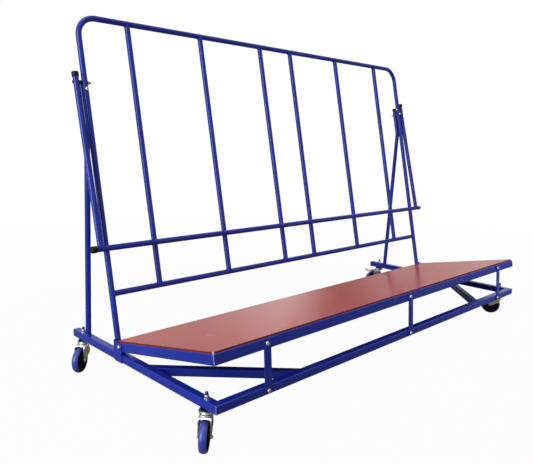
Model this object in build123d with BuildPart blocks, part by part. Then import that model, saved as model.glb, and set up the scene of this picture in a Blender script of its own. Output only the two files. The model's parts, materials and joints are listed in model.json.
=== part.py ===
"""Mat trolley: a low frame on four castors, a sloping deck and a leaning back frame.

The base is square tube, open at the rear. Deck and back frame make one L, bolted to plates on the
end bars, propped at the front by three flat struts and at the rear by two posts. A retaining frame
hangs from the two legs of the back frame and swings over the top of it.

Millimetres. X runs along the trolley, Y to the rear, Z up from the floor.
"""
import os
from math import asin, cos, degrees, radians, sin

from build123d import *

os.makedirs("parts", exist_ok=True)

# Square tube of the base; the deck tube is as wide and taller
tube = 30.0
tube_wall = 2.0
tube_corner = 3.0
deck_tube_height = 35.0

# Round tube of the back frame, the posts and the retaining frame
pipe = 22.0
pipe_wall = 1.5

# Base frame
base_length = 2100.0
base_depth = 925.0
brace_reach = 373.0
end_plate = 2.0

# Plates that carry the deck pivot bolts
plate_thickness = 4.0
plate_width = 54.0
plate_setback = 10.0
plate_corner = 5.0
plate_heel = 14.0
plate_front_rise = 9.5
plate_rear_rise = 23.0

# Deck: square to the back frame, both tilted by the same angle
tilt = 12.0
deck_depth = 577.0
pivot_rise = 28.0
pivot_from_top = 15.0
pivot_from_front = 554.0
pivot_from_rear = 23.0
rear_rail_setback = 55.0
cross_members = 4

# Deck board and its screws
board_thickness = 6.5
board_inset = 4.0
board_corner = 3.0
front_screws = 3
screw_inset_left = 100.0
screw_inset_right = 47.0
screw = 5.0
screw_head = 9.6
screw_length = 19.0

# Back frame, measured up from the deck pivot bolt
back_height = 1228.0
back_bend = 74.0
lower_rail_height = 193.0
outer_bar_gap = 210.0
middle_bar_gap = 210.0

# Front struts of flat bar
strut_inset_left = 217.0
strut_inset_right = 189.0
strut_middle = 15.0
strut_width = 30.0
strut_thickness = 4.0
strut_end = 11.0

# Rear posts
post_setback = 101.0
post_gap = 1.5
post_knee = 835.0
post_bend = 60.0
post_top = 990.0
post_bolt_drop = 36.0

# Retaining frame
arm_pivot_height = 980.0
arm_length = 617.0
arm_gap = 11.5
arm_overrun = 35.0
crossbar_overhang_left = 52.0
crossbar_overhang_right = 57.0
crossbar_rest_gap = 0.4
spacer = 14.0

# Push-on tube caps, and the plug that closes the right end of the crossbar
cap_end = 2.5
cap_wall = 2.0
arm_cap_length = 18.0
crossbar_cap_length = 18.0
post_cap_wall = 1.2
post_cap_length = 14.0
plug_length = 14.0

# Bolts of the frame
bolt = 8.0
bolt_head = 15.0
bolt_head_height = 5.0
nut_across = 13.0
nut_height = 8.0
thread_show = 4.0
arm_bolt_head = 13.0
arm_bolt_head_height = 2.5

# Castors: angle of the trailing direction, counted from +X towards +Y
castor_height = 125.0
castor_inset_front = 64.0
castor_inset_rear = 59.0
castor_trail = 40.0
castor_turn = {"front_left": 223.0, "rear_left": 217.5, "front_right": 106.0, "rear_right": 149.0}
braked_castors = ("rear_right",)
wheel = 100.0
wheel_width = 24.0
wheel_centre = 88.0
tread_width = 25.0
wheel_recess = 5.0
wheel_boss = 28.0
tread_shoulder = 90.0
axle = 6.0
axle_head = 10.0
axle_head_height = 3.0
axle_nut = 10.0
axle_nut_height = 5.0
axle_show = 1.0
fork_plate = 3.5
fork_side_gap = 5.5
fork_foot = 6.5
fork_shoulder = 9.0
fork_rear = 3.0
fork_heel = 15.0
fork_heel_x = 5.5
fork_heel_rise = 30.0
crown_drop = 16.0
crown_plate = 3.5
crown_disc = 36.0
crown_neck = 30.0
fork_web = 3.0
fork_web_top = 8.0
fork_web_drop = 24.0
crown_round = 1.5
head_height = 14.0
head_ring = 6.0
head_diameter = 50.0
head_neck = 40.0
head_round = 1.2
stem = 10.0
stem_head = 16.0
stem_head_height = 6.0
stem_nut_across = 16.0
stem_nut_height = 11.0
stem_show = 10.0

# Brake pedal, carried between the fork cheeks on two stub pins
pedal_pin = 6.0
pedal_barrel = 8.0
pedal_x = 34.0
pedal_rise = 4.5
pedal_plate = 3.0
pedal_neck_width = 30.0
pedal_pad_width = 40.0
pedal_pad_start = 50.0
pedal_pad_end = 87.0
pedal_lip = 6.0
shoe_x = 66.0
shoe_clearance = 4.6
shoe_width = 22.0

# Clearances: bolt holes (radial), running bores (radial), pushed-on fits (radial), turning faces
hole_clearance = 0.3
running_clearance = 0.05
push_clearance = 0.05
face_clearance = 0.3

# Levels and lines that follow from the values above
half_length = base_length / 2
half_depth = base_depth / 2
end_x = half_length - tube / 2
base_middle = castor_height + tube / 2
base_top = castor_height + tube
strut_x = (strut_inset_left - half_length, strut_middle, half_length - strut_inset_right)
deck_front = pivot_from_rear - deck_depth
leg_line = pivot_from_rear + pipe / 2
post_line = leg_line + pipe + post_gap
post_bolt_height = post_top - post_bolt_drop
arm_x = end_x + pipe + arm_gap
crossbar_ends = {-1: half_length + crossbar_overhang_left, 1: half_length + crossbar_overhang_right}
cross_member_step = base_length / (cross_members + 1)
cross_member_x = [cross_member_step * (i + 1) - half_length for i in range(cross_members)]
screw_step = (base_length - screw_inset_left - screw_inset_right) / (front_screws - 1)
screw_x = [screw_inset_left - half_length + screw_step * i for i in range(front_screws)]
board_bottom = pivot_from_top
deck_middle = pivot_from_top - deck_tube_height / 2
board_top = board_bottom + board_thickness
bolt_hole = bolt / 2 + hole_clearance
screw_hole = screw / 2 + hole_clearance
sides = {"left": -1, "right": 1}

# Frame of the L: X along the trolley, Y down the deck to the rear, Z up the back frame
seat = Plane(
    origin=(0, pivot_from_front - half_depth, base_top + pivot_rise),
    x_dir=(1, 0, 0),
    z_dir=(0, sin(radians(tilt)), cos(radians(tilt))),
)

# Plane of the back frame: X along the trolley, Y up the legs
back = Plane(
    origin=seat.from_local_coords((0, leg_line, 0)),
    x_dir=(1, 0, 0),
    z_dir=seat.y_dir * -1,
)

# Frame of the retaining frame at rest: its crossbar leans on the front of the legs
arm_lean = degrees(asin((pipe + crossbar_rest_gap) / arm_length))
swing = Plane(
    origin=seat.from_local_coords((0, leg_line, arm_pivot_height)),
    x_dir=(1, 0, 0),
    z_dir=(0, sin(radians(tilt + arm_lean)), cos(radians(tilt + arm_lean))),
)


def save(piece, name):
    """Label a finished piece and write it as a sub-part."""
    piece.label = name
    export_step(piece, f"parts/{name}.step")


def section_at(frame, point, direction):
    """Plane for a tube section at a point of a frame, square to one of its directions."""
    across = frame.x_dir if abs(direction.dot(frame.x_dir)) < 0.5 else frame.y_dir
    return Plane(origin=frame.from_local_coords(point), x_dir=across, z_dir=direction)


def mitre(frame, side, front):
    """Corner plane between a front rail and the member at one side, facing along the rail."""
    corner = frame.from_local_coords((side * half_length, front, 0))
    return Plane(origin=corner, z_dir=frame.x_dir * -side - frame.y_dir)


def dome_bolt(size, head, height, length):
    """Dome-headed bolt with a hexagon socket, seated on Z = 0, shank downwards."""
    with BuildPart() as made:
        with BuildSketch():
            Circle(head / 2)
        extrude(amount=height)
        fillet(made.edges().sort_by(Axis.Z)[-1], height * 0.75)
        with BuildSketch(Plane.XY.offset(height)):
            RegularPolygon(size * 0.3, 6, major_radius=False)
        extrude(amount=-height / 2, mode=Mode.SUBTRACT)
        with BuildSketch():
            Circle(size / 2)
        extrude(amount=-length)
        chamfer(made.edges().sort_by(Axis.Z)[0], size / 10)
    return made.part


def lock_nut(size, across, height):
    """Lock nut with a rounded collar, seated on Z = 0."""
    with BuildPart() as made:
        with BuildSketch():
            RegularPolygon(across / 2, 6, major_radius=False)
        extrude(amount=height * 0.75)
        with BuildSketch():
            Circle(across * 0.45)
        extrude(amount=height)
        fillet(made.edges().sort_by(Axis.Z)[-1], height * 0.15)
        with BuildSketch():
            Circle(size / 2 + running_clearance)
        extrude(amount=height, mode=Mode.SUBTRACT)
    return made.part


def tube_cap(length, wall):
    """Push-on cap: the tube ends at Z = 0 and the cap closes it above."""
    with BuildPart() as made:
        with BuildSketch(Plane.XY.offset(cap_end - length)):
            Circle(pipe / 2 + push_clearance + wall)
        extrude(amount=length)
        fillet(made.edges().sort_by(Axis.Z)[-1], cap_end * 0.8)
        with BuildSketch():
            Circle(pipe / 2 + push_clearance)
        extrude(amount=cap_end - length, mode=Mode.SUBTRACT)
    return made.part


def tube_plug(length):
    """Plug: its head closes a tube that ends at Z = 0, and its spigot fills the bore below."""
    with BuildPart() as made:
        with BuildSketch():
            Circle(pipe / 2)
        extrude(amount=cap_end)
        fillet(made.edges().sort_by(Axis.Z)[-1], cap_end * 0.8)
        with BuildSketch():
            Circle(pipe / 2 - pipe_wall - push_clearance)
        extrude(amount=-length)
    return made.part


with BuildSketch() as tube_section:
    RectangleRounded(tube, tube, tube_corner)
    inner = tube - 2 * tube_wall
    RectangleRounded(inner, inner, tube_corner - tube_wall, mode=Mode.SUBTRACT)

with BuildSketch() as deck_section:
    RectangleRounded(tube, deck_tube_height, tube_corner)
    inner_height = deck_tube_height - 2 * tube_wall
    RectangleRounded(inner, inner_height, tube_corner - tube_wall, mode=Mode.SUBTRACT)

with BuildSketch() as pipe_section:
    Circle(pipe / 2)
    Circle(pipe / 2 - pipe_wall, mode=Mode.SUBTRACT)

# Base: front rail, end bars with mitred front corners, corner braces
with BuildPart() as front_rail:
    rail_start = (-half_length, tube / 2 - half_depth, base_middle)
    with BuildSketch(section_at(Plane.XY, rail_start, Plane.XY.x_dir)):
        add(tube_section.sketch)
    extrude(amount=base_length)
    for side in sides.values():
        split(bisect_by=mitre(Plane.XY, side, -half_depth), keep=Keep.TOP)
    with BuildSketch(Plane.XZ.offset(half_depth)):
        with Locations(*[(x, base_middle) for x in strut_x]):
            Circle(bolt_hole)
    extrude(amount=-tube, mode=Mode.SUBTRACT)
save(front_rail.part, "front_rail")

castor_front = castor_inset_front - half_depth
castor_rear = half_depth - castor_inset_rear
for hand, side in sides.items():
    with BuildPart() as end_bar:
        bar_start = (side * end_x, -half_depth, base_middle)
        with BuildSketch(section_at(Plane.XY, bar_start, Plane.XY.y_dir)):
            add(tube_section.sketch)
        extrude(amount=base_depth - end_plate)
        split(bisect_by=mitre(Plane.XY, side, -half_depth), keep=Keep.BOTTOM)
        with Locations((side * end_x, castor_rear, base_middle), (side * end_x, castor_front, base_middle)):
            Cylinder(stem / 2 + hole_clearance, 2 * tube, mode=Mode.SUBTRACT)
    save(end_bar.part, f"{hand}_end_bar")

    with BuildPart() as brace:
        inner_x = side * (half_length - tube)
        inner_y = tube - half_depth
        middle = (brace_reach - tube / 2 * 2**0.5) / 2
        run = Vector(-side, -1, 0).normalized()
        across = Vector(0, 0, 1).cross(run)
        middle_point = (inner_x - side * middle, inner_y + middle, base_middle)
        with BuildSketch(Plane(origin=middle_point, x_dir=across, z_dir=run)):
            add(tube_section.sketch)
        extrude(amount=brace_reach, both=True)
        split(bisect_by=Plane(origin=(inner_x, 0, 0), z_dir=(-side, 0, 0)), keep=Keep.TOP)
        split(bisect_by=Plane(origin=(0, inner_y, 0), z_dir=(0, 1, 0)), keep=Keep.TOP)
    save(brace.part, f"{hand}_brace")

with BuildPart() as end_plates:
    with BuildSketch(Plane.XZ.offset(-half_depth)):
        with Locations((-end_x, base_middle), (end_x, base_middle)):
            RectangleRounded(tube, tube, tube_corner)
    extrude(amount=end_plate)
save(end_plates.part, "end_plates")

with BuildPart() as pivot_plates:
    plate_front = seat.origin.Y + plate_setback - plate_width / 2
    plate_rear = plate_front + plate_width
    for side in sides.values():
        with BuildSketch(Plane.YZ.offset(side * half_length)):
            with BuildLine():
                Polyline(
                    (plate_front, castor_height),
                    (plate_rear, castor_height),
                    (plate_rear, seat.origin.Z + plate_rear_rise),
                    (plate_front, seat.origin.Z + plate_front_rise),
                    close=True,
                )
            make_face()
            fillet(vertices().sort_by(Axis.Y)[-2:], plate_corner)
            fillet(vertices().sort_by(Axis.Y)[:2].sort_by(Axis.X)[-1], plate_heel)
            with Locations((seat.origin.Y, seat.origin.Z)):
                Circle(bolt_hole, mode=Mode.SUBTRACT)
        extrude(amount=side * plate_thickness)
save(pivot_plates.part, "pivot_plates")

# Deck frame in the frame of the L
with BuildPart(seat) as deck_front_rail:
    rail_start = (-half_length, deck_front + tube / 2, deck_middle)
    with BuildSketch(section_at(seat, rail_start, seat.x_dir)):
        add(deck_section.sketch)
    extrude(amount=base_length)
    for side in sides.values():
        split(bisect_by=mitre(seat, side, deck_front), keep=Keep.TOP)
    with Locations(*[(x, deck_front + tube / 2, deck_middle) for x in strut_x]):
        Cylinder(bolt_hole, 2 * tube, rotation=(90, 0, 0), mode=Mode.SUBTRACT)
    with Locations(*[(x, deck_front + tube / 2, board_bottom) for x in screw_x]):
        Cylinder(screw_hole, tube / 2, mode=Mode.SUBTRACT)
save(deck_front_rail.part, "deck_front_rail")

rear_rail_y = pivot_from_rear - rear_rail_setback - tube / 2
with BuildPart(seat) as deck_rear_rail:
    rail_start = (tube - half_length, rear_rail_y, deck_middle)
    with BuildSketch(section_at(seat, rail_start, seat.x_dir)):
        add(deck_section.sketch)
    extrude(amount=base_length - 2 * tube)
save(deck_rear_rail.part, "deck_rear_rail")

screw_points = [(x, deck_front + tube / 2) for x in screw_x]
side_screw_y = pivot_from_rear - deck_depth / 2
for hand, side in sides.items():
    screw_points.append((side * end_x, side_screw_y))
    with BuildPart(seat) as deck_side_rail:
        with BuildSketch(section_at(seat, (side * end_x, deck_front, deck_middle), seat.y_dir)):
            add(deck_section.sketch)
        extrude(amount=deck_depth)
        split(bisect_by=mitre(seat, side, deck_front), keep=Keep.BOTTOM)
        with Locations((side * end_x, 0, 0)):
            Cylinder(bolt_hole, 2 * tube, rotation=(0, 90, 0), mode=Mode.SUBTRACT)
        with Locations((side * end_x, side_screw_y, board_bottom)):
            Cylinder(screw_hole, tube / 2, mode=Mode.SUBTRACT)
    save(deck_side_rail.part, f"deck_{hand}_rail")

with BuildPart(seat) as deck_cross_members:
    member_start = deck_front + tube
    for x in cross_member_x:
        with BuildSketch(section_at(seat, (x, member_start, deck_middle), seat.y_dir)):
            add(deck_section.sketch)
    extrude(amount=rear_rail_y - tube / 2 - member_start)
save(deck_cross_members.part, "deck_cross_members")

# Deck board and countersunk screws
with BuildPart(seat) as deck_board:
    with BuildSketch(seat.offset(board_bottom)):
        with Locations((0, side_screw_y)):
            RectangleRounded(base_length - 2 * board_inset, deck_depth - 2 * board_inset, board_corner)
    extrude(amount=board_thickness)
    with Locations(*[(x, y, board_top) for x, y in screw_points]):
        CounterSinkHole(screw_hole, screw_head / 2 + hole_clearance, counter_sink_angle=90)
save(deck_board.part, "deck_board")

head_cone = (screw_head - screw) / 2
with BuildPart() as wood_screw:
    with BuildSketch(Plane.XZ):
        with BuildLine():
            Polyline(
                (0, 0),
                (screw_head / 2, 0),
                (screw / 2, -head_cone),
                (screw / 2, screw / 2 - screw_length),
                (0, -screw_length),
                close=True,
            )
        make_face()
    revolve(axis=Axis.Z)
    with Locations((0, 0, -screw / 8)):
        Box(screw * 0.9, screw / 5, screw / 4, mode=Mode.SUBTRACT)
        Box(screw / 5, screw * 0.9, screw / 4, mode=Mode.SUBTRACT)

with BuildPart(seat) as board_screws:
    with Locations(*[(x, y, board_top) for x, y in screw_points]):
        add(wood_screw.part)
save(board_screws.part, "board_screws")

# Struts: the back face lies on the base rail and on the deck rail, bent where it leaves each
strut_foot_z = base_middle - strut_end
deck_rail_edge = deck_middle - deck_tube_height / 2 + tube_corner
strut_line = [
    Vector(0, -half_depth, strut_foot_z),
    Vector(0, -half_depth, base_top - tube_corner),
    seat.from_local_coords(Vector(0, deck_front, deck_rail_edge)),
    seat.from_local_coords(Vector(0, deck_front, deck_middle + strut_end)),
]
strut_runs = [(end - start).normalized() for start, end in zip(strut_line, strut_line[1:])]
strut_fronts = [Vector(1, 0, 0).cross(run) for run in strut_runs]
front_ways = [
    strut_fronts[0],
    strut_fronts[0] + strut_fronts[1],
    strut_fronts[1] + strut_fronts[2],
    strut_fronts[2],
]
strut_back = [(point.Y, point.Z) for point in strut_line]
strut_front = []
for point, way, front in zip(strut_line, front_ways, strut_fronts[:1] + strut_fronts):
    moved = point + way * (strut_thickness / way.dot(front))
    strut_front.append((moved.Y, moved.Z))
for place, x in zip(("left", "middle", "right"), strut_x):
    with BuildPart() as strut:
        with BuildSketch(Plane.YZ.offset(x - strut_width / 2)):
            with BuildLine():
                Polyline(*strut_back, *reversed(strut_front), close=True)
            make_face()
        extrude(amount=strut_width)
        with BuildSketch(Plane.XZ.offset(half_depth)):
            with Locations((x, base_middle)):
                Circle(bolt_hole)
        extrude(amount=strut_thickness, mode=Mode.SUBTRACT)
        with BuildSketch(section_at(seat, (x, deck_front, deck_middle), seat.y_dir)):
            Circle(bolt_hole)
        extrude(amount=-strut_thickness, mode=Mode.SUBTRACT)
    save(strut.part, f"{place}_strut")

# Back frame: bent hoop, lower rail and six bars coped to the rails
with BuildPart() as back_hoop:
    with BuildLine(back) as hoop_line:
        FilletPolyline(
            (-end_x, -tube / 2),
            (-end_x, back_height),
            (end_x, back_height),
            (end_x, -tube / 2),
            radius=back_bend,
        )
    with BuildSketch(Plane(origin=hoop_line.line @ 0, z_dir=hoop_line.line % 0)):
        add(pipe_section.sketch)
    sweep()
    for side in sides.values():
        with BuildSketch(section_at(seat, (side * end_x, leg_line, arm_pivot_height), seat.x_dir)):
            Circle(bolt_hole)
        extrude(amount=pipe, both=True, mode=Mode.SUBTRACT)
        with BuildSketch(section_at(seat, (side * end_x, leg_line, post_bolt_height), seat.y_dir)):
            Circle(bolt_hole)
        extrude(amount=pipe, both=True, mode=Mode.SUBTRACT)
save(back_hoop.part, "back_hoop")

with BuildPart(seat) as lower_back_rail:
    with BuildSketch(section_at(seat, (0, leg_line, lower_rail_height), seat.x_dir)):
        add(pipe_section.sketch)
    extrude(amount=end_x - pipe_wall, both=True)
    with Locations((-end_x, leg_line, lower_rail_height), (end_x, leg_line, lower_rail_height)):
        Cylinder(pipe / 2, 2 * pipe, mode=Mode.SUBTRACT)
save(lower_back_rail.part, "lower_back_rail")

outer_x = end_x - outer_bar_gap
middle_x = middle_bar_gap / 2
between_x = (outer_x + middle_x) / 2
back_bar_x = (-outer_x, -between_x, -middle_x, middle_x, between_x, outer_x)
for number, x in enumerate(back_bar_x, start=1):
    with BuildPart(seat) as back_bar:
        with BuildSketch(section_at(seat, (x, leg_line, lower_rail_height + pipe_wall), seat.z_dir)):
            add(pipe_section.sketch)
        extrude(amount=back_height - lower_rail_height - 2 * pipe_wall)
        with Locations((x, leg_line, lower_rail_height), (x, leg_line, back_height)):
            Cylinder(pipe / 2, 2 * pipe, rotation=(0, 90, 0), mode=Mode.SUBTRACT)
    save(back_bar.part, f"back_bar_{number}")

# Rear posts: foot on the end bar, one bend, then parallel to the leg
post_foot_y = half_depth - post_setback
knee = seat.from_local_coords((0, post_line, post_knee))
post_end = seat.from_local_coords((0, post_line, post_top))
foot_lean = (post_foot_y - knee.Y) / (knee.Z - base_top)
for hand, side in sides.items():
    with BuildPart() as rear_post:
        with BuildLine(Plane.YZ.offset(side * end_x)) as post_path:
            FilletPolyline(
                (post_foot_y + foot_lean * pipe, base_top - pipe),
                (knee.Y, knee.Z),
                (post_end.Y, post_end.Z),
                radius=post_bend,
            )
        with BuildSketch(Plane(origin=post_path.line @ 0, z_dir=post_path.line % 0)):
            add(pipe_section.sketch)
        sweep()
        split(bisect_by=Plane.XY.offset(base_top), keep=Keep.TOP)
        with BuildSketch(section_at(seat, (side * end_x, post_line, post_bolt_height), seat.y_dir)):
            Circle(bolt_hole)
        extrude(amount=pipe, both=True, mode=Mode.SUBTRACT)
    save(rear_post.part, f"{hand}_rear_post")

post_cap = tube_cap(post_cap_length, post_cap_wall)
with BuildPart(seat) as post_caps:
    with Locations((-end_x, post_line, post_top), (end_x, post_line, post_top)):
        add(post_cap)
save(post_caps.part, "post_caps")

# Retaining frame: two arms coped onto a long crossbar
for hand, side in sides.items():
    with BuildPart(swing) as arm:
        with BuildSketch(section_at(swing, (side * arm_x, 0, pipe_wall - arm_length), swing.z_dir)):
            add(pipe_section.sketch)
        extrude(amount=arm_length - pipe_wall + arm_overrun)
        with Locations((side * arm_x, 0, -arm_length)):
            Cylinder(pipe / 2, 2 * pipe, rotation=(0, 90, 0), mode=Mode.SUBTRACT)
        with Locations((side * arm_x, 0, 0)):
            Cylinder(bolt / 2 + running_clearance, 2 * pipe, rotation=(0, 90, 0), mode=Mode.SUBTRACT)
    save(arm.part, f"{hand}_arm")

with BuildPart(swing) as crossbar:
    with BuildSketch(section_at(swing, (-crossbar_ends[-1], 0, -arm_length), swing.x_dir)):
        add(pipe_section.sketch)
    extrude(amount=crossbar_ends[-1] + crossbar_ends[1])
save(crossbar.part, "crossbar")

arm_cap = tube_cap(arm_cap_length, cap_wall)
bar_ends = {-1: tube_cap(crossbar_cap_length, cap_wall), 1: tube_plug(plug_length)}
with BuildPart() as frame_caps:
    for side, bar_end in bar_ends.items():
        with Locations(section_at(swing, (side * arm_x, 0, arm_overrun), swing.z_dir)):
            add(arm_cap)
        bar_end_place = (side * crossbar_ends[side], 0, -arm_length)
        with Locations(section_at(swing, bar_end_place, swing.x_dir * side)):
            add(bar_end)
save(frame_caps.part, "frame_caps")

with BuildPart(seat) as arm_spacers:
    spacer_length = arm_gap + pipe / 2 - face_clearance
    for side in sides.values():
        leg_axis = (side * end_x, leg_line, arm_pivot_height)
        with BuildSketch(section_at(seat, leg_axis, seat.x_dir * side)):
            Circle(spacer / 2)
            Circle(bolt_hole, mode=Mode.SUBTRACT)
        extrude(amount=spacer_length)
        with Locations(leg_axis):
            Cylinder(pipe / 2, 2 * pipe, mode=Mode.SUBTRACT)
save(arm_spacers.part, "arm_spacers")

# Bolts and nuts of the frame: each seat is a plane that faces away from the work
nut_stack = nut_height + thread_show
base_rearward = Plane.XY.y_dir
deck_rearward = seat.y_dir
strut_seats = []
pivot_seats = []
post_seats = []
arm_seats = []
nut_seats = []
for x in strut_x:
    base_strut_face = (x, -half_depth - strut_thickness, base_middle)
    base_rail_rear = (x, tube - half_depth, base_middle)
    deck_strut_face = (x, deck_front - strut_thickness, deck_middle)
    deck_rail_rear = (x, deck_front + tube, deck_middle)
    strut_seats.append(section_at(Plane.XY, base_strut_face, base_rearward * -1))
    strut_seats.append(section_at(seat, deck_strut_face, deck_rearward * -1))
    nut_seats.append(section_at(Plane.XY, base_rail_rear, base_rearward))
    nut_seats.append(section_at(seat, deck_rail_rear, deck_rearward))
for side in sides.values():
    out = seat.x_dir * side
    plate_face = (side * (half_length + plate_thickness), 0, 0)
    deck_rail_inside = (side * (half_length - tube), 0, 0)
    leg_front = (side * end_x, leg_line - pipe / 2, post_bolt_height)
    post_rear = (side * end_x, post_line + pipe / 2, post_bolt_height)
    arm_outside = (side * (arm_x + pipe / 2 + face_clearance), leg_line, arm_pivot_height)
    leg_inside = (side * (end_x - pipe / 2), leg_line, arm_pivot_height)
    pivot_seats.append(section_at(seat, plate_face, out))
    nut_seats.append(section_at(seat, deck_rail_inside, out * -1))
    post_seats.append(section_at(seat, leg_front, deck_rearward * -1))
    nut_seats.append(section_at(seat, post_rear, deck_rearward))
    arm_seats.append(section_at(seat, arm_outside, out))
    nut_seats.append(section_at(seat, leg_inside, out * -1))

strut_bolt = dome_bolt(bolt, bolt_head, bolt_head_height, strut_thickness + tube + nut_stack)
with BuildPart() as strut_bolts:
    with Locations(*strut_seats):
        add(strut_bolt)
save(strut_bolts.part, "strut_bolts")

pivot_bolt = dome_bolt(bolt, bolt_head, bolt_head_height, plate_thickness + tube + nut_stack)
with BuildPart() as pivot_bolts:
    with Locations(*pivot_seats):
        add(pivot_bolt)
save(pivot_bolts.part, "pivot_bolts")

post_bolt = dome_bolt(bolt, bolt_head, bolt_head_height, post_line - leg_line + pipe + nut_stack)
with BuildPart() as post_bolts:
    with Locations(*post_seats):
        add(post_bolt)
save(post_bolts.part, "post_bolts")

arm_grip = 2 * pipe + arm_gap + face_clearance + nut_stack
arm_bolt = dome_bolt(bolt, arm_bolt_head, arm_bolt_head_height, arm_grip)
with BuildPart() as arm_bolts:
    with Locations(*arm_seats):
        add(arm_bolt)
save(arm_bolts.part, "arm_bolts")

frame_nut = lock_nut(bolt, nut_across, nut_height)
with BuildPart() as frame_nuts:
    with Locations(*nut_seats):
        add(frame_nut)
save(frame_nuts.part, "frame_nuts")

# Castor, drawn with its swivel axis on Z and trailing along +X
axle_z = wheel / 2
crown_top = castor_height - crown_drop
crown_bottom = crown_top - crown_plate
head_bottom = castor_height - head_height
cheek_inner = wheel_width / 2 + fork_side_gap
cheek_outer = cheek_inner + fork_plate
pedal_z = wheel + pedal_rise

with BuildSketch() as cheek_outline:
    shoulder_z = crown_top - fork_shoulder
    rear_x = fork_shoulder - fork_rear
    with Locations((pedal_x, shoulder_z), (rear_x, shoulder_z)):
        Circle(fork_shoulder)
    with Locations((castor_trail, axle_z)):
        Circle(fork_foot)
    with Locations((fork_heel_x, axle_z + fork_heel_rise)):
        Circle(fork_heel)
    make_hull()

# The web ties the cheeks together in front of the wheel, below the head of the castor bolt
with BuildPart() as front_web:
    with BuildSketch(Plane.XZ.offset(-cheek_inner)):
        add(cheek_outline.sketch)
    extrude(amount=2 * cheek_inner)
    with BuildSketch(Plane.XZ.offset(-cheek_inner)):
        with Locations((fork_web, 0)):
            add(cheek_outline.sketch)
    extrude(amount=2 * cheek_inner, mode=Mode.SUBTRACT)
    split(bisect_by=Plane.XY.offset(crown_bottom - fork_web_drop), keep=Keep.TOP)
    split(bisect_by=Plane.XY.offset(crown_bottom - fork_web_top), keep=Keep.BOTTOM)

fork_run = castor_trail + 2 * fork_shoulder
with BuildPart() as plain_fork:
    with BuildSketch(Plane.YZ.offset(-fork_run)):
        with Locations((0, crown_top / 2)):
            Rectangle(2 * cheek_outer, crown_top)
        fillet(vertices().sort_by(Axis.Y)[-2:], fork_plate + crown_round)
        with Locations((0, crown_bottom / 2)):
            Rectangle(2 * cheek_inner, crown_bottom, mode=Mode.SUBTRACT)
    extrude(amount=2 * fork_run)
    with BuildSketch(Plane.XZ.offset(-2 * cheek_outer)):
        add(cheek_outline.sketch)
        with Locations((castor_trail, axle_z)):
            Circle(axle / 2 + hole_clearance, mode=Mode.SUBTRACT)
    extrude(amount=4 * cheek_outer, mode=Mode.INTERSECT)
    add(front_web.part)
    with BuildSketch(Plane.XY.offset(crown_bottom)):
        Circle(crown_disc / 2)
    extrude(amount=crown_plate - crown_round)
    with BuildSketch(Plane.XY.offset(crown_bottom)):
        Circle(crown_neck / 2)
    extrude(amount=head_bottom - face_clearance - crown_bottom)
    with Locations((0, 0, crown_top)):
        Cylinder(stem / 2 + running_clearance, 2 * crown_drop, mode=Mode.SUBTRACT)

# Between the cheeks of the braked fork the crown is cut back, which makes room for the pedal
with BuildPart() as braked_fork:
    add(plain_fork.part)
    with BuildSketch(Plane.XY.offset(crown_bottom)):
        with Locations((fork_run / 2, 0)):
            Rectangle(fork_run, 2 * cheek_inner)
        Circle(crown_disc / 2, mode=Mode.SUBTRACT)
    extrude(amount=crown_drop, mode=Mode.SUBTRACT)
    pin_hole = pedal_pin / 2 + running_clearance
    with Locations((pedal_x, 0, pedal_z)):
        Cylinder(pin_hole, 4 * cheek_outer, rotation=(90, 0, 0), mode=Mode.SUBTRACT)

axle_bolt = dome_bolt(axle, axle_head, axle_head_height, 2 * cheek_outer + axle_nut_height + axle_show)
axle_lock_nut = lock_nut(axle, axle_nut, axle_nut_height)
with BuildPart() as axle_set:
    with Locations(section_at(Plane.XY, (castor_trail, -cheek_outer, axle_z), Plane.XY.y_dir * -1)):
        add(axle_bolt)
    with Locations(section_at(Plane.XY, (castor_trail, cheek_outer, axle_z), Plane.XY.y_dir)):
        add(axle_lock_nut)

wheel_plane = Plane(origin=(castor_trail, 0, axle_z), x_dir=(1, 0, 0), z_dir=(0, -1, 0))
with BuildPart(wheel_plane) as wheel_core:
    Cylinder(wheel_centre / 2, wheel_width)
    for face in (-1, 1):
        with BuildSketch(wheel_plane.offset(face * wheel_width / 2)):
            Circle(wheel_centre / 2 - wheel_recess)
        extrude(amount=-face * wheel_recess, mode=Mode.SUBTRACT)
    Cylinder(wheel_boss / 2, 2 * (cheek_inner - face_clearance))
    Cylinder(axle / 2 + running_clearance, 2 * wheel_width, mode=Mode.SUBTRACT)

tread_inside = wheel_centre / 2 + push_clearance
tread_edge = tread_width / 2
with BuildPart() as tyre:
    with BuildSketch(Plane(origin=wheel_plane.origin, x_dir=(0, 1, 0), z_dir=(1, 0, 0))):
        with BuildLine():
            edge_line = Line((tread_edge, tread_inside), (tread_edge, tread_shoulder / 2))
            ThreePointArc(edge_line @ 1, (0, wheel / 2), (-tread_edge, tread_shoulder / 2))
            Polyline((-tread_edge, tread_shoulder / 2), (-tread_edge, tread_inside), edge_line @ 0)
        make_face()
    revolve(axis=Axis(wheel_plane.origin, wheel_plane.z_dir))

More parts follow.
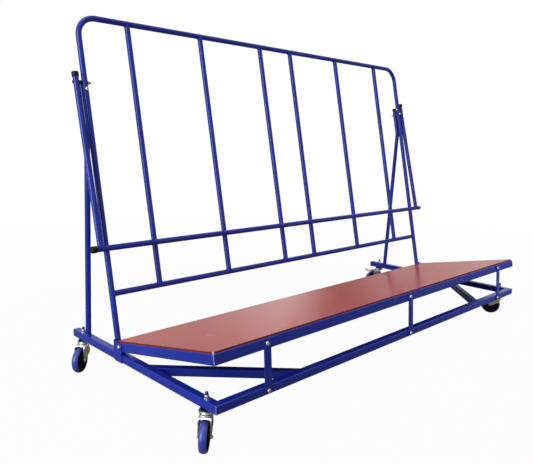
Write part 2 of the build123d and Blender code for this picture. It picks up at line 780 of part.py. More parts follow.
shoe_bottom = axle_z + ((wheel / 2 + shoe_clearance) ** 2 - (shoe_x - castor_trail) ** 2) ** 0.5
plate_bottom = pedal_z + pedal_barrel / 2 - pedal_plate
with BuildPart() as pedal:
    with Locations((pedal_x, 0, pedal_z)):
        Cylinder(pedal_barrel / 2, 2 * (cheek_inner - face_clearance), rotation=(90, 0, 0))
        Cylinder(pedal_pin / 2, 2 * cheek_outer, rotation=(90, 0, 0))
    with BuildSketch(Plane.XY.offset(plate_bottom)):
        with Locations(((pedal_x + pedal_pad_start) / 2, 0)):
            Rectangle(pedal_pad_start - pedal_x, pedal_neck_width)
        with Locations(((pedal_pad_start + pedal_pad_end) / 2, 0)):
            Rectangle(pedal_pad_end - pedal_pad_start, pedal_pad_width)
    extrude(amount=pedal_plate)
    with Locations((pedal_pad_end - pedal_plate / 2, 0, plate_bottom + (pedal_plate + pedal_lip) / 2)):
        Box(pedal_plate, pedal_pad_width, pedal_plate + pedal_lip)
    with Locations((shoe_x, 0, (shoe_bottom + plate_bottom + pedal_plate) / 2)):
        Box(pedal_plate, shoe_width, plate_bottom + pedal_plate - shoe_bottom)

castor_axes = {}
for corner in castor_turn:
    corner_x = end_x if corner.endswith("right") else -end_x
    corner_y = castor_rear if corner.startswith("rear") else castor_front
    castor_axes[corner] = Plane(origin=(corner_x, corner_y, 0))

stem_grip = castor_height + tube + stem_nut_height + stem_show - crown_bottom + face_clearance
stem_bolt = dome_bolt(stem, stem_head, stem_head_height, stem_grip)
stem_nut = lock_nut(stem, stem_nut_across, stem_nut_height)
with BuildPart() as castor_bolts:
    for axis in castor_axes.values():
        under_crown = axis.origin + Vector(0, 0, crown_bottom - face_clearance)
        with Locations(Plane(origin=under_crown, x_dir=(1, 0, 0), z_dir=(0, 0, -1))):
            add(stem_bolt)
save(castor_bolts.part, "castor_bolts")

with BuildPart() as castor_nuts:
    with Locations(*[axis.offset(base_top) for axis in castor_axes.values()]):
        add(stem_nut)
save(castor_nuts.part, "castor_nuts")

on_base = (Align.CENTER, Align.CENTER, Align.MIN)
with BuildPart() as swivel_head:
    Cylinder(head_diameter / 2, head_ring, align=on_base)
    fillet(swivel_head.edges().filter_by(GeomType.CIRCLE), head_round)
    Cylinder(head_neck / 2, head_height, align=on_base)
    Cylinder(stem / 2 + hole_clearance, 3 * head_height, mode=Mode.SUBTRACT)

with BuildPart() as castor_heads:
    with Locations(*[axis.offset(head_bottom) for axis in castor_axes.values()]):
        add(swivel_head.part)
save(castor_heads.part, "castor_heads")

for corner, turn in castor_turn.items():
    trailing = Vector(cos(radians(turn)), sin(radians(turn)), 0)
    place = Plane(origin=castor_axes[corner].origin, x_dir=trailing, z_dir=(0, 0, 1))
    braked = corner in braked_castors
    pieces = {
        "fork": braked_fork.part if braked else plain_fork.part,
        "axle": axle_set.part,
        "wheel_centre": wheel_core.part,
        "tyre": tyre.part,
    }
    if braked:
        pieces["brake_pedal"] = pedal.part
    for piece_name, piece in pieces.items():
        with BuildPart() as placed:
            with Locations(place):
                add(piece)
        save(placed.part, f"{corner}_{piece_name}")
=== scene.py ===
"""Mat trolley: finishes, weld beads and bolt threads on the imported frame, in a plain studio."""

import json
import math

import bpy
from mathutils import Matrix, Vector


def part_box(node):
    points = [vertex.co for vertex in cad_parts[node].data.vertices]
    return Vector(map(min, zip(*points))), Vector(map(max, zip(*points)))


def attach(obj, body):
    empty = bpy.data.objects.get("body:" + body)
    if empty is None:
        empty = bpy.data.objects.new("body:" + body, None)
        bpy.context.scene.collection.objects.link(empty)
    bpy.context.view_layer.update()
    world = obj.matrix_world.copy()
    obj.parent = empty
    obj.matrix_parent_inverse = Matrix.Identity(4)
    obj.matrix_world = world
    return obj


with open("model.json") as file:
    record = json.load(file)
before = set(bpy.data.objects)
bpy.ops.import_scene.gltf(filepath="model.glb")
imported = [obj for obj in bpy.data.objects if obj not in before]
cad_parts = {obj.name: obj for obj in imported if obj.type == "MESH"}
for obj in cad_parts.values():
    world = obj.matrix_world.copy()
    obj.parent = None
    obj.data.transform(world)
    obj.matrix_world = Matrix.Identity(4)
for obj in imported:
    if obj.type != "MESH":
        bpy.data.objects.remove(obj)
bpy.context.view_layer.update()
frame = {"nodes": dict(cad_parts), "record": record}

# Sizes in metres, as the solids have them
seat_tilt = math.radians(12)
half_length = 1.050
half_depth = 0.4625
tube = 0.030
deck_tube = 0.035
deck_middle = -0.0025
leg_radius = 0.011
base_top = 0.155
deck_front = -0.554
deck_rear = 0.023
board_inset = 0.004
leg_line = 0.034
post_line = 0.0575
rear_rail_line = -0.047
hoop_top = 1.228
lower_rail = 0.193
post_bolts = 0.954
arm_pivot = 0.980
brace_reach = 0.373
post_foot = 0.3615
plate_edges = (0.0745, 0.1285)
cross_members = (-0.630, -0.210, 0.210, 0.630)
strut_places = (-0.833, 0.015, 0.861)
castor_places = ((-1.035, -0.3985), (-1.035, 0.4035), (1.035, -0.3985), (1.035, 0.4035))
frame_nut = 0.008
castor_nut = 0.011

# Thread past a nut: radius of the bolt, pitch, and length that shows
frame_thread = (0.004, 0.00125, 0.004)
castor_thread = (0.005, 0.0015, 0.010)

# Ridge of a thread, in pitches: its size, how deep it sits, where it starts and where it stops
ridge_size = 0.42
ridge_sink = 0.06
ridge_start = 0.4
ridge_stop = 0.8
ridge_steps = 28

# Weld beads: thickness of the bead, spacing and depth of its ripples, how far it sinks in,
# how thin its ends are, and how many sides it has
weld_size = 0.0021
ground_weld_size = 0.0014
weld_step = 0.0034
weld_ripple = 0.00035
weld_sink = 0.0006
weld_taper = 0.45
run_sides = 10
ring_sides = 8

# Places of the beads: short of a tube's faces, in its rounded corner, beside the foot of a leg,
# and along the slanted end of a brace
seam_end = 0.0015
corner_inset = 0.0008
leg_seam_side = 0.0072
leg_seam_back = 0.0026
slant_end = 0.002
slant_inset = 0.0009

# Painted highlights on the paint and the board: reach of the painted highlight along the top front
# edges and of the painted highlight down the front corners, made patchy like chipped paint; place
# and reach of a pale patch on the board's film, a painted reflection; and reach of the board's chip
base_rail_glint = 0.0042
deck_nose_glint = 0.0030
deck_corner_glint = 0.0024
base_corner_glint = 0.0022
pale_patch_x = -0.873
pale_patch_depth = -0.319
pale_patch_reach = 0.03
board_chip = 0.006

# The camera that took the photograph, found from the trolley's own corners
camera_eye = (-2.060762, -1.693719, 0.945419)
camera_azimuth = math.radians(-44.398)
camera_elevation = math.radians(9.337)
camera_roll = math.radians(1.189)
camera_lens = 38.494
sensor_width = 36.0

# Studio: diffuse light of the room, tint of the windows, and the floor, which is grey to the
# lamps and nearly white to the camera, with the distances from where to where it turns white
room_light = 0.08
window_colour = (0.87, 0.98, 1.0)
floor_size = 60
floor_grey = (0.28, 0.28, 0.28, 1)
floor_white = 0.97
floor_fade = (1.6, 5.0)

# What gloss shows of the room: its front, and behind the trolley a dark doorway between a bright
# wall, which fades to the left, and a dim wall, which is brighter to the right
front_gloss = 0.45
doorway = math.radians(39.8)
bright_wall = 1.0
far_wall = 0.42
dim_wall = 0.42
right_wall = 0.9
bright_edge = (0.02, 0.12)
far_edge = (0.14, 0.26)
dim_edge = (-0.015, -0.05)
right_edge = (-0.15, -0.32)
wall_top = (0.08, 0.35)
room_rear = (-0.4, 0.4)
floor_rear = (0.0, 3.0)

# Colours in linear light
paint_deep = (0.010, 0.022, 0.270, 1)
paint_clear = (0.014, 0.028, 0.308, 1)
highlit_edge_blue = (0.035, 0.070, 0.480, 1)
highlit_corner_pale = (0.52, 0.58, 0.74, 1)
film_dark = (0.52, 0.042, 0.022, 1)
film_light = (0.58, 0.056, 0.032, 1)
painted_reflection_film = (0.62, 0.47, 0.38, 1)
ply_dark = (0.10, 0.006, 0.004, 1)
ply_light = (0.19, 0.014, 0.010, 1)
bare_ply = (0.70, 0.52, 0.40, 1)
tread_dark = (0.026, 0.040, 0.27, 1)
tread_light = (0.042, 0.058, 0.34, 1)

# Bands of painted light on a castor's plating, a painted shade on the neck under the frame and a
# painted highlight on the fork's crown: heights where one starts, is full and stops, and its colour
shaded_neck = (0.1168, 0.1180, 0.1252, (0.030, 0.034, 0.038, 1))
highlit_crown = (0.0950, 0.1040, 0.1200, (0.84, 0.83, 0.78, 1))


def middle(node):
    low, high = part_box(node)
    return (low + high) / 2


# The tilted back and deck share one frame: origin on the pivot bolts, v back, w up
seat_origin = Vector((0.0, middle("pivot_bolts").y, middle("pivot_bolts").z))
seat_back = Vector((0.0, math.cos(seat_tilt), -math.sin(seat_tilt)))
seat_up = Vector((0.0, math.sin(seat_tilt), math.cos(seat_tilt)))
lengthwise = Vector((1.0, 0.0, 0.0))
rearwards = Vector((0.0, 1.0, 0.0))
upright = Vector((0.0, 0.0, 1.0))
end_x = half_length - tube / 2
inner_x = half_length - tube
inner_y = tube - half_depth
seam = tube - 2 * seam_end
deck_seam = deck_tube - 2 * seam_end


def on_seat(x, v, w):
    return seat_origin + lengthwise * x + seat_back * v + seat_up * w


class Wire:
    """A shader socket that takes part in sums, and the way to add a node."""

    def __init__(self, tree, socket=None):
        self.tree = tree
        self.socket = socket

    def node(self, kind, settings=None, sockets=None, out=0):
        made = self.tree.nodes.new(kind)
        for name, value in (settings or {}).items():
            setattr(made, name, value)
        for key, value in (sockets or {}).items():
            if isinstance(value, Wire):
                self.tree.links.new(value.socket, made.inputs[key])
            else:
                made.inputs[key].default_value = value
        return Wire(self.tree, made.outputs[out])

    def math(self, operation, first, second):
        return self.node("ShaderNodeMath", {"operation": operation}, {0: first, 1: second})

    def __abs__(self):
        return self.node("ShaderNodeMath", {"operation": "ABSOLUTE"}, {0: self})

    def __add__(self, other):
        return self.math("ADD", self, other)

    def __radd__(self, other):
        return self.math("ADD", other, self)

    def __sub__(self, other):
        return self.math("SUBTRACT", self, other)

    def __rsub__(self, other):
        return self.math("SUBTRACT", other, self)

    def __mul__(self, other):
        return self.math("MULTIPLY", self, other)

    def __rmul__(self, other):
        return self.math("MULTIPLY", other, self)

    def along(self, direction):
        """How far a place lies along a direction."""
        return self.node(
            "ShaderNodeVectorMath",
            {"operation": "DOT_PRODUCT"},
            {0: self, 1: tuple(direction)},
            out="Value",
        )

    def near_line(self, first, second, reach):
        """1 on a line where two distances are nought, and 0 further than a reach from it."""
        return (first * first + second * second).between(reach**2, 0.0)

    def stretched(self, scale):
        return self.node("ShaderNodeMapping", None, {"Vector": self, "Scale": scale})

    def noise(self, scale, detail=3.0, roughness=0.55):
        return self.node(
            "ShaderNodeTexNoise",
            None,
            {"Vector": self, "Scale": scale, "Detail": detail, "Roughness": roughness},
        )

    def between(self, low, high):
        """0 at low and 1 at high, clamped."""
        return self.node(
            "ShaderNodeMapRange",
            {"clamp": True},
            {"Value": self, "From Min": low, "From Max": high},
        )

    def tint(self, first, second):
        """The first colour where this is 0 and the second where it is 1."""
        return self.node(
            "ShaderNodeMix",
            {"data_type": "RGBA"},
            {0: self, 6: first, 7: second},
            out=2,
        )


class Finish:
    """One material: constants on its shader, and patterns on the piece's own place."""

    def __init__(self, name, **constants):
        self.material = bpy.data.materials.new(name)
        self.material.use_nodes = True
        tree = self.material.node_tree
        self.shader = tree.nodes["Principled BSDF"]
        self.wire = Wire(tree)
        self.place = self.wire.node("ShaderNodeTexCoord", out="Object")
        for socket, value in constants.items():
            self.shader.inputs[socket.replace("_", " ")].default_value = value

    def feed(self, socket, wire):
        self.wire.tree.links.new(wire.socket, self.shader.inputs[socket])

    def bump(self, height, strength, distance):
        self.feed(
            "Normal",
            self.wire.node(
                "ShaderNodeBump",
                None,
                {"Height": height, "Strength": strength, "Distance": distance},
            ),
        )


def blue_powder_coat():
    paint = Finish("blue_powder_coat", IOR=1.35)
    place = paint.place
    cloud = place.noise(5.0)
    peel = place.noise(420.0, detail=2.0)
    dust = place.noise(38.0, detail=5.0)
    edge_patches = place.noise(70.0, detail=4.0).between(0.35, 0.6)
    corner_patches = place.noise(240.0, detail=3.0).between(0.4, 0.55)
    end = abs(place.along(lengthwise)) - (half_length - corner_inset)
    front = place.along(rearwards) + (half_depth - corner_inset)
    level = place.along(upright) - (base_top - corner_inset)
    deck_nose = place.along(seat_back) - (
        seat_origin.dot(seat_back) + deck_front + corner_inset
    )
    deck_edge = place.along(seat_up) - (
        seat_origin.dot(seat_up) + deck_middle + deck_tube / 2 - corner_inset
    )
    # Painted highlight along the top front edges of the base and the deck, made patchy by noise
    edge_highlight = (
        place.near_line(front, level, base_rail_glint)
        + place.near_line(deck_nose, deck_edge, deck_nose_glint)
    ) * (0.45 + 0.4 * edge_patches)
    # Painted highlight down the front corners of the deck and the base, patchy like chipped paint
    corner_highlight = (
        place.near_line(end, deck_nose, deck_corner_glint) * (0.35 + 0.65 * corner_patches)
        + place.near_line(end, front, base_corner_glint) * corner_patches
    )
    colour = cloud.between(0.3, 0.7).tint(paint_deep, paint_clear)
    colour = edge_highlight.between(0.0, 1.0).tint(colour, highlit_edge_blue)
    colour = corner_highlight.between(0.0, 1.0).tint(colour, highlit_corner_pale)
    paint.feed("Base Color", colour)
    paint.feed("Roughness", 0.2 + 0.1 * dust)
    paint.bump(peel, 0.12, 0.0002)
    return paint.material


def red_film_ply():
    board = Finish("red_film_ply", IOR=1.45)
    place = board.place
    across = place.along(lengthwise)
    depth = place.along(seat_back) - seat_origin.dot(seat_back)
    height = place.along(seat_up)
    top_height = max(
        vertex.co.dot(seat_up) for vertex in frame["nodes"]["deck_board"].data.vertices
    )
    face = height.between(top_height - 0.0006, top_height - 0.0003)
    grain = place.stretched((1.2, 16.0, 16.0)).noise(3.0, detail=6.0, roughness=0.6)
    speckle = place.noise(260.0, detail=3.0)
    film = (0.65 * grain + 0.35 * speckle).between(0.3, 0.7)
    # A pale patch on the film near the left end: a painted reflection
    reflection_patch = place.near_line((across - pale_patch_x) * 2.0, depth - pale_patch_depth, pale_patch_reach)
    reflection_patch = reflection_patch * speckle.between(0.42, 0.56)
    film_colour = (0.6 * reflection_patch).tint(film.tint(film_dark, film_light), painted_reflection_film)
    plies = board.wire.node(
        "ShaderNodeTexWave",
        {"wave_type": "BANDS", "bands_direction": "Z", "wave_profile": "SIN"},
        {
            "Vector": place.node("ShaderNodeCombineXYZ", None, {"Z": height}),
            "Scale": 105.0,
        },
        out="Fac",
    )
    chip = place.near_line(
        across + (half_length - board_inset), depth - (deck_front + board_inset), board_chip
    )
    colour = face.tint(plies.tint(ply_dark, ply_light), film_colour)
    board.feed("Base Color", chip.tint(colour, bare_ply))
    haze = place.stretched((1.0, 3.0, 3.0)).noise(2.3, detail=3.0)
    board.feed("Roughness", 0.6 - 0.4 * face + 0.06 * haze + 0.05 * speckle)
    board.bump(grain + 0.6 * speckle, 0.1, 0.0002)
    return board.material


def plated_steel(name, pale, warm, shine, band=None):
    """Plated steel; a band is a height from one level to another that has a colour of its own,
    which the castors use for painted shade under the frame and for a painted highlight on the
    fork's crown.
    """
    plate = Finish(name, Metallic=1.0)
    bloom = plate.place.noise(55.0, detail=4.0)
    brush = plate.place.noise(700.0, detail=2.0)
    colour = bloom.between(0.35, 0.65).tint(pale, warm)
    if band:
        start, full, stop, band_colour = band
        level = plate.place.along(upright)
        inside = level.between(start, full) - level.between(stop, stop + full - start)
        colour = inside.tint(colour, band_colour)
    plate.feed("Base Color", colour)
    plate.feed("Roughness", shine + 0.16 * bloom)
    plate.bump(brush, 0.08, 0.0001)
    return plate.material


def moulded_plastic(name, dark, pale, gloss):
    plastic = Finish(name, IOR=1.22)
    grain = plastic.place.noise(900.0, detail=2.0)
    cloud = plastic.place.noise(30.0)
    plastic.feed("Base Color", cloud.between(0.3, 0.7).tint(dark, pale))
    plastic.feed("Roughness", gloss + 0.14 * cloud)
    plastic.bump(grain, 0.15, 0.0002)
    return plastic.material


def rubber_tread():
    rubber = Finish("blue_rubber_tread", IOR=1.5)
    cloud = rubber.place.noise(42.0, detail=5.0)
    grain = rubber.place.noise(800.0, detail=3.0)
    rubber.feed("Base Color", cloud.between(0.3, 0.75).tint(tread_dark, tread_light))
    rubber.feed("Roughness", 0.26 + 0.16 * grain)
    rubber.bump(grain, 0.2, 0.0002)
    return rubber.material


finishes = {
    "blue_paint": blue_powder_coat(),
    "deck_ply": red_film_ply(),
    # Bright zinc, with painted shade on the castor necks under the frame
    "bright_zinc": plated_steel(
        "bright_zinc_plate",
        pale=(0.70, 0.71, 0.71, 1),
        warm=(0.62, 0.62, 0.60, 1),
        shine=0.22,
        band=shaded_neck,
    ),
    # Yellow zinc, with a painted highlight that makes the fork's crown paler
    "yellow_zinc": plated_steel(
        "yellow_zinc_plate",
        pale=(0.60, 0.52, 0.37, 1),
        warm=(0.50, 0.41, 0.26, 1),
        shine=0.3,
        band=highlit_crown,
    ),
    "dark_steel": plated_steel(
        "dark_oiled_steel",
        pale=(0.085, 0.080, 0.070, 1),
        warm=(0.055, 0.050, 0.045, 1),
        shine=0.3,
    ),
    "black_plastic": moulded_plastic(
        "black_cap_plastic",
        dark=(0.006, 0.006, 0.007, 1),
        pale=(0.011, 0.011, 0.012, 1),
        gloss=0.36,
    ),
    "black_nylon": moulded_plastic(
        "black_wheel_nylon",
        dark=(0.002, 0.002, 0.003, 1),
        pale=(0.005, 0.005, 0.006, 1),
        gloss=0.5,
    ),
    "blue_tread": rubber_tread(),
}

for subpart in frame["record"]["subparts"]:
    piece = frame["nodes"][subpart["node"]]
    piece.data.materials.clear()
    piece.data.materials.append(finishes[subpart["material_slot"]])


def pick(piece, wanted):
    """Selects the vertices of a piece that are wanted, with the edges and faces between them."""
    bpy.ops.object.mode_set(mode="OBJECT")
    mesh = piece.data
    for vertex in mesh.vertices:
        vertex.select = wanted(vertex.co)
    for edge in mesh.edges:
        edge.select = all(mesh.vertices[i].select for i in edge.vertices)
    for face in mesh.polygons:
        face.select = all(mesh.vertices[i].select for i in face.vertices)
    bpy.ops.object.mode_set(mode="EDIT")
    bpy.ops.mesh.select_mode(type="VERT")


def alone():
    """Leaves nothing selected, so that the next operator acts on its own piece only."""
    if bpy.context.object and bpy.context.object.mode != "OBJECT":
        bpy.ops.object.mode_set(mode="OBJECT")
    bpy.ops.object.select_all(action="DESELECT")


def weld_run(length, size):
    """Model of a straight rippled bead along +Z, tapered where it starts and stops."""
    alone()
    bpy.ops.mesh.primitive_cylinder_add(
        vertices=run_sides, radius=size, depth=length, location=(0, 0, length / 2)
    )
    bead = bpy.context.object
    bpy.ops.object.transform_apply(location=True)
    ripples = max(4, round(length / weld_step))
    bpy.ops.object.mode_set(mode="EDIT")
    bpy.ops.mesh.select_mode(type="EDGE")
    bpy.ops.mesh.select_all(action="DESELECT")
    bpy.ops.object.mode_set(mode="OBJECT")
    for edge in bead.data.edges:
        low, high = (bead.data.vertices[i].co.z for i in edge.vertices)
        edge.select = abs(high - low) > length / 2
    bpy.ops.object.mode_set(mode="EDIT")
    bpy.ops.mesh.subdivide(number_cuts=2 * ripples - 1)
    spacing = length / (2 * ripples)
    pick(bead, lambda co: round(co.z / spacing) % 2 == 1)
    swell = 1 + weld_ripple / size
    bpy.ops.transform.resize(value=(swell, swell, 1), center_override=(0, 0, 0))
    pick(bead, lambda co: co.z < spacing / 2 or co.z > length - spacing / 2)
    bpy.ops.transform.resize(value=(weld_taper, weld_taper, 1), center_override=(0, 0, 0))
    bpy.ops.object.mode_set(mode="OBJECT")
    return bead


def weld_ring(radius, pipe=None):
    """Model of a rippled bead round a tube that stands along +Z on a flat face at Z = 0.

    With a pipe, the tube stands on a pipe of that radius, whose axis is X."""
    alone()
    ripples = max(8, round(2 * math.pi * radius / weld_step))
    bpy.ops.mesh.primitive_torus_add(
        major_radius=radius,
        minor_radius=weld_size,
        major_segments=2 * ripples,
        minor_segments=ring_sides,
    )
    bead = bpy.context.object
    spacing = math.pi / ripples
    pick(bead, lambda co: round(math.atan2(co.y, co.x) / spacing) % 2 == 1)
    bpy.ops.transform.shrink_fatten(value=weld_ripple)
    bpy.ops.object.mode_set(mode="OBJECT")
    if pipe:
        for vertex in bead.data.vertices:
            offset = radius * math.sin(math.atan2(vertex.co.y, vertex.co.x))
            vertex.co.z += math.sqrt(max((pipe + weld_sink) ** 2 - offset**2, 0.0))
    return bead


def stud_thread(radius, pitch, length):
    """Model of the thread ridge on the end of a bolt, along +Z from Z = 0."""
    alone()
    bpy.ops.mesh.primitive_circle_add(vertices=3, radius=pitch * ridge_size)
    ridge = bpy.context.object
    bpy.ops.object.mode_set(mode="EDIT")
    bpy.ops.mesh.select_all(action="SELECT")
    bpy.ops.transform.rotate(value=math.pi / 2, orient_axis="X", center_override=(0, 0, 0))
    bpy.ops.transform.translate(value=(radius - pitch * ridge_sink, 0, pitch * ridge_start))
    bpy.ops.object.mode_set(mode="OBJECT")
    turns = ridge.modifiers.new("turns", "SCREW")
    turns.screw_offset = pitch
    turns.iterations = max(1, int(length / pitch - ridge_stop))
    turns.steps = ridge_steps
    turns.render_steps = ridge_steps
    bpy.ops.object.modifier_apply(modifier="turns")
    bpy.ops.object.mode_set(mode="EDIT")
    bpy.ops.mesh.select_all(action="SELECT")
    bpy.ops.mesh.fill_holes(sides=4)
    bpy.ops.object.mode_set(mode="OBJECT")
    return ridge


def placed(model, foot, along, across=None):
    """A copy of a model with its Z along a direction, and its X across it where that matters."""
    along = Vector(along).normalized()
    across = Vector(across or along.orthogonal()).normalized()
    alone()
    model.select_set(True)
    bpy.context.view_layer.objects.active = model
    bpy.ops.object.duplicate()
    copy = bpy.context.object
    turn = Matrix((across, along.cross(across), along)).transposed().to_4x4()
    copy.matrix_world = Matrix.Translation(Vector(foot)) @ turn
    bpy.ops.object.transform_apply()
    return copy


def gather(name, members, body, slot):
    """Joins members into one piece that rides on a body and takes that slot's finish."""
    alone()
    for member in members:
        member.select_set(True)
    bpy.context.view_layer.objects.active = members[0]
    bpy.ops.object.join()
    piece = bpy.context.object
    piece.name = name
    piece.data.name = name
    bpy.ops.object.mode_set(mode="EDIT")
    bpy.ops.mesh.select_all(action="SELECT")
    bpy.ops.mesh.normals_make_consistent(inside=False)
    bpy.ops.object.mode_set(mode="OBJECT")
    bpy.ops.object.shade_smooth()
    piece.data.materials.clear()
    piece.data.materials.append(finishes[slot])
    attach(piece, body)


def scrap(*models):
    for model in models:
        bpy.data.objects.remove(model)


def back_frame_welds():
    tube_ring = weld_ring(leg_radius, leg_radius)
    leg_seam = weld_run(seam, weld_size)
    beads = []
    for number in range(1, 7):
        x = middle(f"back_bar_{number}").x
        for height, along in ((hoop_top, -seat_up), (lower_rail, seat_up)):
            beads.append(placed(tube_ring, on_seat(x, leg_line, height), along, lengthwise))
    for side in (-1, 1):
        joint = on_seat(side * end_x, leg_line, lower_rail)
        beads.append(placed(tube_ring, joint, -side * lengthwise, seat_up))
        for flank in (-leg_seam_side, leg_seam_side):
            foot = on_seat(side * end_x + flank, deck_rear + leg_seam_back, -seam / 2)
            beads.append(placed(leg_seam, foot, seat_up))
    scrap(tube_ring, leg_seam)
    gather("back_frame_welds", beads, "trolley_frame", "blue_paint")


def deck_welds():
    corner = weld_run(deck_seam, ground_weld_size)
    fillet = weld_run(deck_seam, weld_size)
    low = deck_middle - deck_seam / 2
    beads = []
    for side in (-1, 1):
        foot = on_seat(side * (half_length - corner_inset), deck_front + corner_inset, low)
        beads.append(placed(corner, foot, seat_up))
        beads.append(placed(fillet, on_seat(side * inner_x, deck_front + tube, low), seat_up))
        for v in (rear_rail_line - tube / 2, rear_rail_line + tube / 2):
            beads.append(placed(fillet, on_seat(side * inner_x, v, low), seat_up))
    for x in cross_members:
        for v in (deck_front + tube, rear_rail_line - tube / 2):
            for flank in (-tube / 2, tube / 2):
                beads.append(placed(fillet, on_seat(x + flank, v, low), seat_up))
    scrap(corner, fillet)
    gather("deck_welds", beads, "trolley_frame", "blue_paint")


def base_welds():
    corner = weld_run(seam, ground_weld_size)
    fillet = weld_run(seam, weld_size)
    slant = weld_run(tube * math.sqrt(2) - 2 * slant_end, ground_weld_size)
    post_ring = weld_ring(leg_radius)
    low = base_top - tube / 2 - seam / 2
    brace_start = brace_reach - tube * math.sqrt(2)
    beads = []
    for side in (-1, 1):
        foot = (side * (half_length - corner_inset), corner_inset - half_depth, low)
        beads.append(placed(corner, foot, upright))
        beads.append(placed(fillet, (side * inner_x, inner_y, low), upright))
        for reach in (brace_start, brace_reach):
            beads.append(placed(fillet, (side * inner_x, inner_y + reach, low), upright))
            beads.append(placed(fillet, (side * (inner_x - reach), inner_y, low), upright))
        for level in (base_top - slant_inset, base_top - tube + slant_inset):
            foot = (side * inner_x, inner_y + brace_start + slant_end, level)
            beads.append(placed(slant, foot, rearwards))
            foot = (side * (inner_x - brace_start - slant_end), inner_y, level)
            beads.append(placed(slant, foot, -side * lengthwise))
        for y in plate_edges:
            beads.append(placed(fillet, (side * half_length, y, low), upright))
        beads.append(placed(post_ring, (side * end_x, post_foot, base_top), upright))
    scrap(corner, fillet, slant, post_ring)
    gather("base_welds", beads, "trolley_frame", "blue_paint")


def retaining_welds():
    arm_ring = weld_ring(leg_radius, leg_radius)
    crossbar = middle("crossbar")
    beads = []
    for arm in ("left_arm", "right_arm"):
        x = middle(arm).x
        foot = Vector((x, crossbar.y, crossbar.z))
        up_arm = on_seat(x, leg_line, arm_pivot) - foot
        beads.append(placed(arm_ring, foot, up_arm, lengthwise))
    scrap(arm_ring)
    gather("retaining_welds", beads, "retaining_frame", "blue_paint")


def frame_bolt_threads():
    bolt_end = stud_thread(*frame_thread)
    ridges = []
    for x in strut_places:
        foot = (x, inner_y + frame_nut, base_top - tube / 2)
        ridges.append(placed(bolt_end, foot, rearwards))
        foot = on_seat(x, deck_front + tube + frame_nut, deck_middle)
        ridges.append(placed(bolt_end, foot, seat_back))
    for side in (-1, 1):
        foot = on_seat(side * (inner_x - frame_nut), 0, 0)
        ridges.append(placed(bolt_end, foot, -side * lengthwise))
        foot = on_seat(side * end_x, post_line + leg_radius + frame_nut, post_bolts)
        ridges.append(placed(bolt_end, foot, seat_back))
    scrap(bolt_end)
    gather("frame_bolt_threads", ridges, "trolley_frame", "bright_zinc")


def dark_bolt_threads():
    stud = stud_thread(*castor_thread)
    bolt_end = stud_thread(*frame_thread)
    ridges = []
    for x, y in castor_places:
        ridges.append(placed(stud, (x, y, base_top + castor_nut), upright))
    for side in (-1, 1):
        foot = on_seat(side * (end_x - leg_radius - frame_nut), leg_line, arm_pivot)
        ridges.append(placed(bolt_end, foot, -side * lengthwise))
    scrap(stud, bolt_end)
    gather("dark_bolt_threads", ridges, "trolley_frame", "dark_steel")


back_frame_welds()
deck_welds()
base_welds()
retaining_welds()
frame_bolt_threads()
dark_bolt_threads()


def camera():
    back = Vector(
        (
            math.sin(camera_azimuth) * math.cos(camera_elevation),
            -math.cos(camera_azimuth) * math.cos(camera_elevation),
            math.sin(camera_elevation),
        )
    )
    right = Vector((math.cos(camera_azimuth), math.sin(camera_azimuth), 0.0))
    up = back.cross(right)
    turned_right = right * math.cos(camera_roll) + up * math.sin(camera_roll)
    turned_up = up * math.cos(camera_roll) - right * math.sin(camera_roll)
    lens = bpy.data.cameras.new("photo_camera")
    lens.lens = camera_lens
    lens.sensor_width = sensor_width
    lens.clip_start, lens.clip_end = 0.05, 100
    stand = bpy.data.objects.new("photo_camera", lens)
    stand.matrix_world = Matrix.Translation(camera_eye) @ Matrix(
        (turned_right, turned_up, back)
    ).transposed().to_4x4()
    bpy.context.scene.collection.objects.link(stand)
    bpy.context.scene.camera = stand


def wide_lamp(name, towards, spread, strength):
    """Even light from one direction, as wide as a large soft box."""
    lamp = bpy.data.lights.new(name, "SUN")
    lamp.angle = math.radians(spread)
    lamp.energy = strength
    stand = bpy.data.objects.new(name, lamp)
    stand.rotation_mode = "QUATERNION"
    stand.rotation_quaternion = Vector(towards).to_track_quat("Z", "Y")
    bpy.context.scene.collection.objects.link(stand)


def window(name, place, aim, width, height, power, mirrored=True):
    """A soft box, which draws a bright line down the upright tubes where it is mirrored."""
    lamp = bpy.data.lights.new(name, "AREA")
    lamp.shape = "RECTANGLE"
    lamp.size = width
    lamp.size_y = height
    lamp.energy = power
    lamp.color = window_colour
    stand = bpy.data.objects.new(name, lamp)
    stand.location = place
    stand.rotation_mode = "QUATERNION"
    stand.rotation_quaternion = (Vector(aim) - Vector(place)).to_track_quat("-Z", "Y")
    stand.visible_glossy = mirrored
    bpy.context.scene.collection.objects.link(stand)


def shown(wire, to_camera, to_gloss):
    """How white the studio looks to the camera or through a clear material, and in a reflection."""
    seen = wire.node("ShaderNodeLightPath", out="Is Camera Ray")
    gloss = Wire(wire.tree, seen.socket.node.outputs["Is Glossy Ray"])
    through = Wire(wire.tree, seen.socket.node.outputs["Is Transmission Ray"])
    return ((seen + through) * to_camera + gloss * to_gloss).between(0.0, 1.0)


def wall_tone(place):
    """How bright the wall behind the trolley is in a reflection, from where a place lies."""
    way = place.node("ShaderNodeVectorMath", {"operation": "NORMALIZE"}, {0: place})
    left = way.along((-math.sin(doorway), math.cos(doorway), 0.0))
    bright = bright_wall * left.between(*bright_edge)
    faded = (bright_wall - far_wall) * left.between(*far_edge)
    dim = dim_wall * left.between(*dim_edge)
    right = (right_wall - dim_wall) * left.between(*right_edge)
    return bright - faded + dim + right


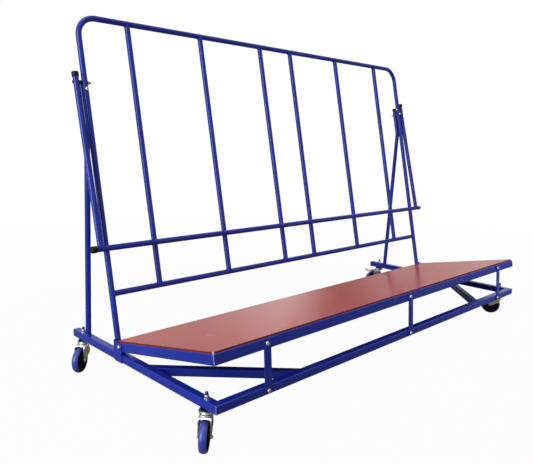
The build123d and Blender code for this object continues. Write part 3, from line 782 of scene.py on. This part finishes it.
def white_room():
    world = bpy.data.worlds.new("white_room")
    bpy.context.scene.world = world
    world.use_nodes = True
    wire = Wire(world.node_tree)
    background = wire.tree.nodes["Background"]
    background.inputs["Color"].default_value = (1, 1, 1, 1)
    direction = wire.node("ShaderNodeTexCoord", out="Generated")
    rear_side = direction.along(rearwards).between(*room_rear)
    high = direction.along(upright).between(*wall_top)
    wall = wall_tone(direction)
    behind = wall + (1.0 - wall) * high
    reflected = front_gloss * (1.0 - rear_side) + behind * rear_side
    strength = room_light + (1 - room_light) * shown(wire, 1.0, reflected)
    wire.tree.links.new(strength.socket, background.inputs["Strength"])


def pale_floor():
    alone()
    bpy.ops.mesh.primitive_plane_add(size=floor_size)
    floor = bpy.context.object
    floor.name = "floor"
    pale = Finish("pale_floor", Base_Color=floor_grey, Roughness=0.9, Specular_IOR_Level=0.0)
    wire = pale.wire
    glow = wire.node("ShaderNodeEmission", None, {"Color": (1, 1, 1, 1), "Strength": 1.0})
    matt = Wire(wire.tree, pale.shader.outputs[0])
    distance = pale.place.node(
        "ShaderNodeVectorMath", {"operation": "LENGTH"}, {0: pale.place}, out="Value"
    )
    white = floor_white + (1 - floor_white) * distance.between(*floor_fade)
    rear_side = pale.place.along(rearwards).between(*floor_rear)
    mirrored = rear_side * wall_tone(pale.place)
    bright = shown(wire, white, mirrored)
    mixed = wire.node("ShaderNodeMixShader", None, {0: bright, 1: matt, 2: glow})
    wire.tree.links.new(mixed.socket, wire.tree.nodes["Material Output"].inputs["Surface"])
    floor.data.materials.append(pale.material)


white_room()
pale_floor()
camera()
window(
    "left_window",
    place=(-8.0, -0.6, 3.4),
    aim=(0.0, 0.0, 0.7),
    width=4.4,
    height=6.4,
    power=720,
)
window(
    "right_glow",
    place=(2.2, -1.6, 0.5),
    aim=(1.0, -0.45, 0.2),
    width=0.8,
    height=0.8,
    power=23,
    mirrored=False,
)
wide_lamp("front_fill", towards=(0.1, -1.0, 0.35), spread=90, strength=0.27)
wide_lamp("ceiling", towards=(-0.1, -0.1, 1.0), spread=50, strength=1.0)

bpy.context.scene.view_settings.view_transform = "Standard"
